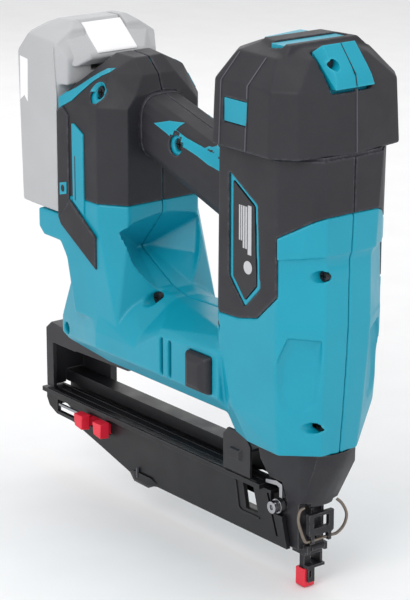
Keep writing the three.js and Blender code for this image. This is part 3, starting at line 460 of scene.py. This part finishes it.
for tag, s in (("right", -1), ("left", 1)):
    slab(tag + "_dock_strip", [(-189.4, 187), (-187, 185.5), (-177.4, 199.4), (-177.4, 252.6),
                               (-183, 257.5), (-189.4, 254)], s * 36.6, s * 39.0, "soft_grip", edge=0.6)
    slab(tag + "_dock_square", [(-186.5, 202), (-179.5, 204), (-179.5, 211.4), (-186.5, 209.6)],
         s * 38.2, s * 39.5, "housing_shell", edge=0.3)
    # painted shade: a black disc stands in for the shaded inside of the small hole
    slab(tag + "_dock_hole_shade", [(-183 + 1.7 * math.cos(k * math.pi / 6),
                                      206.8 + 2.2 * math.sin(k * math.pi / 6)) for k in range(12)],
         s * 38.6, s * 39.8, "black_plastic", edge=0.15)
    slab(tag + "_foot_inset", [(-173.8, 248.4), (-171.6, 248.6), (-162.2, 243.6), (-162.2, 193.6),
                               (-173.4, 200.8)], s * 36.8, s * 39.0, "housing_shell", edge=0.5)
    # painted shade: a black strip stands in for the shaded inside of the slit
    slab(tag + "_foot_slit_shade", [(-170.9, 229), (-170.1, 229), (-170.1, 201.5), (-170.9, 202)],
         s * 38.4, s * 39.12, "black_plastic", edge=0.1)
    slab(tag + "_foot_flap", [(-176.6, 200.4), (-150.2, 182.4), (-150.2, 162.4), (-186.6, 183.4),
                              (-188.6, 187)], s * 35.5, s * 39.3, "soft_grip", edge=0.8)
    slab(tag + "_foot_flap_crease", [(-176.4, 201.6), (-149.4, 183.2), (-149.4, 181.4), (-176.9, 199.4)],
         s * 38.6, s * 39.8, "soft_grip", edge=0.4)
    drape(tag + "_foot_trim", [(-187.4, 262.2), (-182.4, 265.6), (-175.3, 269.8), (-168.1, 275.8),
                               (-162.5, 279.9), (-157.5, 282.6), (-151, 283.8), (-151.6, 281.4),
                               (-157.2, 278.8), (-161.5, 275.6), (-168.7, 268.4), (-174.1, 262.3),
                               (-187.4, 255.6)], FOOT, s, 0.5, 1.2, "housing_shell", cell=2.6)
    drape(tag + "_foot_screw_ring", [(-154 + 6.3 * math.cos(k * math.pi / 12),
                                      269.5 + 6.3 * math.sin(k * math.pi / 12)) for k in range(24)]
          if s > 0 else [(-154 + 6.3 * math.cos(k * math.pi / 12),
                          269.5 + 6.3 * math.sin(k * math.pi / 12)) for k in range(13)]
          + [(-154 + 4.2 * math.cos(k * math.pi / 12),
              269.5 + 4.2 * math.sin(k * math.pi / 12)) for k in range(12, -1, -1)],
          FOOT, s, 0.35, 0.6, "housing_shell", cell=2.2, edge=0.1)
    drape(tag + "_handle_strip", [(-120.7, 255.1), (-109, 258.2), (-99.2, 258.2), (-101.4, 254.2),
                                  (-91.3, 251.3), (-74.9, 248.2), (-71.6, 251), (-59.9, 246.6),
                                  (-55.2, 242.9), (-55.2, 239.9), (-58.0, 238.3), (-68.7, 240.1),
                                  (-79.5, 243.4), (-90.4, 245.8), (-94.6, 246.2), (-97.2, 249.2),
                                  (-100.4, 250.4), (-103.6, 249.4), (-108.5, 251.4)],
          GRIP, s, 0.45, 1.0, "housing_shell", cell=2.6)
    # the ribs are real raised ribs; their lighter colour is a painted highlight
    for k, x in enumerate((-21.8, 0.9)):
        drape(f"{tag}_head_rib_{k + 1}", [(x - 0.45, 265.2), (x + 0.45, 265.2), (x + 0.45, 301),
                                          (x + 2.8, 315.4), (x + 1.9, 315.4), (x - 0.45, 301)],
              HEAD, s, 0.4, 0.8, "soft_grip", cell=3.2, edge=0.15, look=HIGHLIGHT_RUBBER)

# painted shade: a dark rubber band fills the gap under the head, standing in for the shade in that gap
GAP_SHADE_OUTLINE = [(38.4, 0.5), (37.2, 20.4), (19.5, 38.6), (-28.4, 39.1), (-36.2, 30.4)]
hulled("head_gap_shade", both([(x, y, z) for z in (262.6, 264.6) for x, y in GAP_SHADE_OUTLINE]), "soft_grip", edge=0.1)


def collar(name, stations, slot_name, grow):
    """A ring round the handle that hides the joint at its end."""
    pts = []
    for x, z0, z1, w in stations:
        for k in range(24):
            a = math.pi * k / 12
            c, t = math.cos(a), math.sin(a)
            pts.append((x, math.copysign(abs(c) ** 0.62, c) * (w + grow),
                        (z0 + z1) / 2 + math.copysign(abs(t) ** 0.62, t) * ((z1 - z0) / 2 + grow)))
    return hulled(name, pts, slot_name, edge=0.3)


collar("handle_collar", [(-140, 232.6, 271.1, 17.6), (-132, 230, 269, 17.2)], "soft_grip", 0.35)

# generic printed bars in place of the plate's lettering
for k, (x, z0, z1, w) in enumerate(((-3.2, 205, 233, 1.5), (-6.2, 208, 232, 0.7), (-8.3, 208, 232, 0.7),
                                    (-10.2, 212, 232, 0.5), (-11.9, 212, 232, 0.5))):
    slab(f"plate_bar_{k + 1}", [(x - w, z0), (x + w, z0), (x + w, z1), (x - w, z1)], -38.9, -39.35,
         "grey_plastic", edge=0.05, look=PRINT)
DISC_R = 3.6
ring = [(-4.6 + DISC_R * math.cos(k * math.pi / 10), 197.5 + DISC_R * 1.05 * math.sin(k * math.pi / 10))
        for k in range(20)]
slab("plate_disc", ring, -38.9, -39.35, "grey_plastic", edge=0.05, look=PRINT)

hulled("pack_front_lip", both([(-197, 21, 302.6), (-197, 25, 300.6), (-179, 20, 287.4), (-178.4, 20, 284.4),
                               (-183, 29, 279.8), (-188, 33, 282), (-192, 34.5, 292), (-190, 30, 296)]),
       "pack_plastic", "battery_pack", 1.0)
hulled("pack_button_face", both([(-197.6, 14.6, 303.2), (-196.2, 14.6, 303.4), (-179.2, 14.6, 288.6),
                                 (-178.6, 14.6, 287.2), (-182, 14.6, 287.6), (-198, 14.6, 301.6)]),
       "pack_plastic", "battery_button", 0.5, look=WHITE)
slab("pack_side_stripe", [(-229.4, 281), (-221.2, 280), (-221.8, 253.4), (-225.4, 257), (-229.8, 253.6)],
     -37.0, -37.75, "pack_plastic", "battery_pack", 0.1, look=WHITE)
slab("pack_side_line", [(-194.6, 291), (-193.4, 291), (-190.6, 262), (-190.9, 196), (-192.4, 196),
                        (-192.2, 262)], -36.8, -37.9, "pack_plastic", "battery_pack", 0.3)
slab("pack_side_line_left", [(-194.6, 291), (-193.4, 291), (-190.6, 262), (-190.9, 196), (-192.4, 196),
                             (-192.2, 262)], 36.8, 37.9, "pack_plastic", "battery_pack", 0.3)

def coil(node, x, y, z0, z1, radius, wire, turns):
    """A compression spring in the space of the frame's solid; it moves with that solid's body."""
    sides, steps = 8, int(turns * 14)
    verts = []
    for k in range(steps + 1):
        a = 2 * math.pi * turns * k / steps
        z = z0 + wire + (z1 - z0 - 2 * wire) * k / steps
        for q in range(sides):
            b = 2 * math.pi * q / sides
            r = radius + wire * math.cos(b)
            verts.append(mm(x + r * math.cos(a), y + r * math.sin(a), z + wire * math.sin(b)))
    faces = [list(range(sides)), list(range(steps * sides, (steps + 1) * sides))]
    for k in range(steps):
        for q in range(sides):
            a, b = k * sides + q, k * sides + (q + 1) % sides
            faces.append([a, b, b + sides, a + sides])
    ob = closed(node + "_coil", verts, faces)
    ob.data.shade_smooth()
    finish_piece(ob, BODY_OF[node], "bright_steel", node)
    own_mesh(ob)


coil("contact_spring", 0, 12, 104.4, 118, 2.5, 0.42, 6)
coil("trigger_spring", -64, 0, 220.6, 226, 1.8, 0.36, 3.5)

# front block of the head: middle seam and screw; mould line below it
hulled("head_block_seam",
       paired([(39.2, 301.4), (37.7, 308.1), (25.2, 322.9), (24, 315), (36, 301.4)], 0.3),
       "black_plastic", "housing", 0.05)
hulled("head_block_screw",
       [(x, -10.9 + r * math.cos(k * math.pi / 8), 313.2 + r * math.sin(k * math.pi / 8))
        for x, r in ((26.5, 2.6), (28.6, 2.6), (29.2, 2.0)) for k in range(16)],
       "bright_steel", "housing", 0.1, look=DARK_SCREW)
# the mould line is coloured lighter as a painted highlight
hulled("head_front_line", paired([(40.25, 265.2), (39.25, 300), (38, 265.2), (37, 300)], 0.35),
       "soft_grip", "housing", 0.1, look=HIGHLIGHT_RUBBER)

# embossed lines, hump, window bar and window frame of the magazine cover
for k, (y0, y1) in enumerate(((-17.4, -16.6), (-12.2, -11.2), (-6.2, -5.4))):
    slab(f"cover_flange_line_{k + 1}", [(-236, 59.8), (-23, 59.8), (-23, 60.5), (-236, 60.5)], y0, y1,
         "black_plastic", "cover", 0.2)
hulled("cover_hump", [(-150, -15.4, 27.4), (-121, -15.4, 27.4), (-146, -15.2, 22.6), (-131, -15.2, 22.3),
                      (-150, -11.9, 27.4), (-121, -11.9, 27.4), (-146, -11.9, 22.6), (-131, -11.9, 22.3),
                      (-145, -16.4, 30.4), (-128, -16.4, 30.4), (-143, -16.4, 25), (-132, -16.4, 24.6)],
       "black_plastic", "cover", 0.5)
# painted highlight: a lighter strip on the hump stands in for its glint
hulled("cover_hump_glint", [(-141.6, -16.9, 33), (-140.4, -16.9, 33), (-141.2, -16.9, 26.6),
                            (-140, -16.9, 26.6), (-141.6, -15.4, 33), (-140.4, -15.4, 33),
                            (-141.2, -15.4, 26.6), (-140, -15.4, 26.6)],
       "black_plastic", "cover", 0.2, look=HIGHLIGHT_RUBBER)
hulled("cover_window_bar", [(-229.6, -14.4, 50.6), (-201, -14.4, 50.6), (-229.6, -14.4, 48.8),
                            (-201, -14.4, 48.8), (-229.6, -12.6, 50.6), (-201, -12.6, 50.6),
                            (-229.6, -12.6, 48.8), (-201, -12.6, 48.8)], "light_alloy", "cover", 0.3)
FRAME = ((-44.6, 54.6), (-41.4, 38.6), (-38.6, 37.0), (-22.4, 37.2))
for k, ((xa, za), (xb, zb)) in enumerate(zip(FRAME, FRAME[1:])):
    along = Vector((xb - xa, 0, zb - za)).normalized()
    side = Vector((-along.z, 0, along.x)) * 0.7
    corners = [(x + q * side.x, z + q * side.z) for x, z in ((xa, za), (xb, zb)) for q in (-1, 1)]
    hulled(f"cover_window_frame_{k + 1}", [(x, y, z) for x, z in corners for y in (-15.7, -14.6)],
           "black_plastic", "cover", 0.25)

# ---- floor, light, camera ---------------------------------------------------------
FLOOR_HALF = 6
FLOOR_DROP = 0.0006
floor_mesh = bpy.data.meshes.new("floor")
bm = bmesh.new()
bmesh.ops.create_grid(bm, x_segments=8, y_segments=8, size=FLOOR_HALF)
bm.to_mesh(floor_mesh)
bm.free()
floor = linked(bpy.data.objects.new("floor", floor_mesh))
floor.location = (0, 0, -FLOOR_DROP)
floor_shade = Shade("pale_floor", tint(246, 246, 247), tint(243, 243, 244), (0.85, 0.95), specular=0.2)
floor_mesh.materials.append(floor_shade.grain(40, 0.2).done(0.0001, 0.1))

WORLD_STRENGTH = 0.8
world = bpy.data.worlds.new("studio")
bpy.context.scene.world = world
world.use_nodes = True
world.node_tree.nodes["Background"].inputs["Color"].default_value = (1.0, 1.0, 1.0, 1.0)
world.node_tree.nodes["Background"].inputs["Strength"].default_value = WORLD_STRENGTH
bpy.context.scene.view_settings.view_transform = "Standard"


MIDDLE = (-0.08, 0, 0.17)  # what the lamps point at


def lamp(name, place, size, watts):
    data = bpy.data.lights.new(name, "AREA")
    data.shape = "RECTANGLE"
    data.size, data.size_y = size
    data.energy = watts
    ob = linked(bpy.data.objects.new(name, data))
    ob.location = place
    ob.rotation_mode = "QUATERNION"
    ob.rotation_quaternion = (Vector(MIDDLE) - Vector(place)).to_track_quat("-Z", "Y")


lamp("key_light", (0.5, -1.3, 1.2), (0.8, 0.8), 10)
lamp("front_fill", (1.5, 0.1, 0.7), (0.7, 1.1), 2.2)
lamp("top_light", (-0.1, 0.2, 1.6), (0.9, 0.9), 3.5)
lamp("rear_light", (-1.3, 0.6, 0.9), (0.8, 0.8), 2.5)

LENS, SENSOR = 144, 36
CAMERA_PLACE = (0.9786, -0.8380, 0.5672)
AZIMUTH, ELEVATION = math.radians(52.1), math.radians(17.0)
camera_data = bpy.data.cameras.new("camera")
camera_data.lens = LENS
camera_data.sensor_width = SENSOR
camera_data.clip_start, camera_data.clip_end = 0.05, 20
camera = linked(bpy.data.objects.new("camera", camera_data))
back = Vector((math.sin(AZIMUTH) * math.cos(ELEVATION), -math.cos(AZIMUTH) * math.cos(ELEVATION),
               math.sin(ELEVATION)))
camera.location = CAMERA_PLACE
camera.rotation_mode = "QUATERNION"
camera.rotation_quaternion = (-back).to_track_quat("-Z", "Y")
bpy.context.scene.camera = camera
